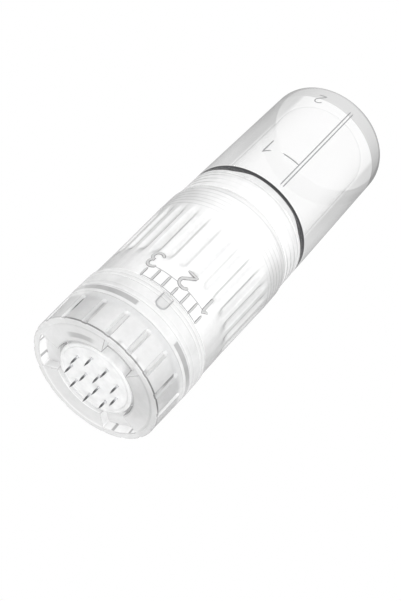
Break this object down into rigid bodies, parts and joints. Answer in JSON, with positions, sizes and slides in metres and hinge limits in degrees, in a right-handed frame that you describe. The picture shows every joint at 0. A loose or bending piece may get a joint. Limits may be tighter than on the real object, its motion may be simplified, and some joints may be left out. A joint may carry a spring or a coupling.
{
  "type": "adjustable needle stamp applicator",
  "caption": "Clear hand-held needle stamp with a turning depth dial, a fluted grip and a screw-in serum vial.",
  "frame": {"origin": "centre of the vial's flat base, on the device's axis", "axes": "+Z along the axis from the vial towards the needles; -Y is the front, through the digit 2 of the scale; +X to the right when seen from the front"},
  "size_m": [0.0142, 0.0143, 0.0452],
  "materials": {
    "clear_vial": "thick clear plastic, polished",
    "clear_grip": "clear moulded plastic, fluted, lightly handled",
    "clear_dial": "clear moulded plastic with sharp grooves",
    "clear_inner": "clear moulded plastic, as moulded",
    "silicone": "translucent silicone, satin",
    "black_rubber": "black elastomer, satin",
    "ring_grey": "smoky grey plastic",
    "natural_plastic": "natural white plastic",
    "steel": "ground needle steel, dark at the root"
  },
  "bodies": {
    "grip": {"grip_body": "clear_grip", "vial_socket": "clear_grip", "tube_seal_ring": "silicone", "seal_retainer": "clear_inner", "dial_friction_ring": "silicone"},
    "dial": {"depth_dial": "clear_dial", "dial_retaining_ring": "ring_grey"},
    "carrier": {"needle_carrier": "clear_inner", "feed_tube": "clear_inner", "cam_pins": "natural_plastic", "valve_body": "clear_inner", "return_spring": "natural_plastic", "valve_spring": "natural_plastic"},
    "head": {"needle_hub": "clear_inner", "hub_seal_ring": "silicone", "needle_base": "clear_inner", "needle_plate": "clear_inner", "needles": "steel"},
    "ball": {"valve_ball": "clear_inner"},
    "seal": {"vial_gasket": "black_rubber"},
    "vial": {"vial_shell": "clear_vial", "orifice_plug": "clear_inner"}
  },
  "joints": [
    {"name": "depth_turn", "type": "hinge", "parent": "grip", "child": "dial", "pos_m": [0, 0, 0.0381], "axis": [0, 0, 1], "range_deg": [-28, 28]},
    {"name": "carrier_slide", "type": "slide", "parent": "grip", "child": "carrier", "axis": [0, 0, 1], "range_m": [-0.0005, 0.0005]},
    {"name": "head_press", "type": "slide", "parent": "carrier", "child": "head", "axis": [0, 0, -1], "range_m": [0, 0.0005], "stiffness_N_per_m": 400, "springref_m": -0.0005, "deforming": ["return_spring"]},
    {"name": "valve_open", "type": "slide", "parent": "carrier", "child": "ball", "axis": [0, 0, -1], "range_m": [0, 0.0005], "deforming": ["valve_spring"]},
    {"name": "vial_withdraw", "type": "slide", "parent": "grip", "child": "seal", "axis": [0, 0, -1], "range_m": [0, 0.0035]},
    {"name": "vial_unscrew", "type": "hinge", "parent": "seal", "child": "vial", "pos_m": [0, 0, 0.0181], "axis": [0, 0, -1], "range_deg": [0, 900]}
  ],
  "couplings": [
    {"joint": "depth_turn", "follows": "carrier_slide", "rad_per_m": 977.38},
    {"joint": "valve_open", "follows": "head_press", "ratio": 1},
    {"joint": "vial_unscrew", "follows": "vial_withdraw", "rad_per_m": 4488}
  ]
}
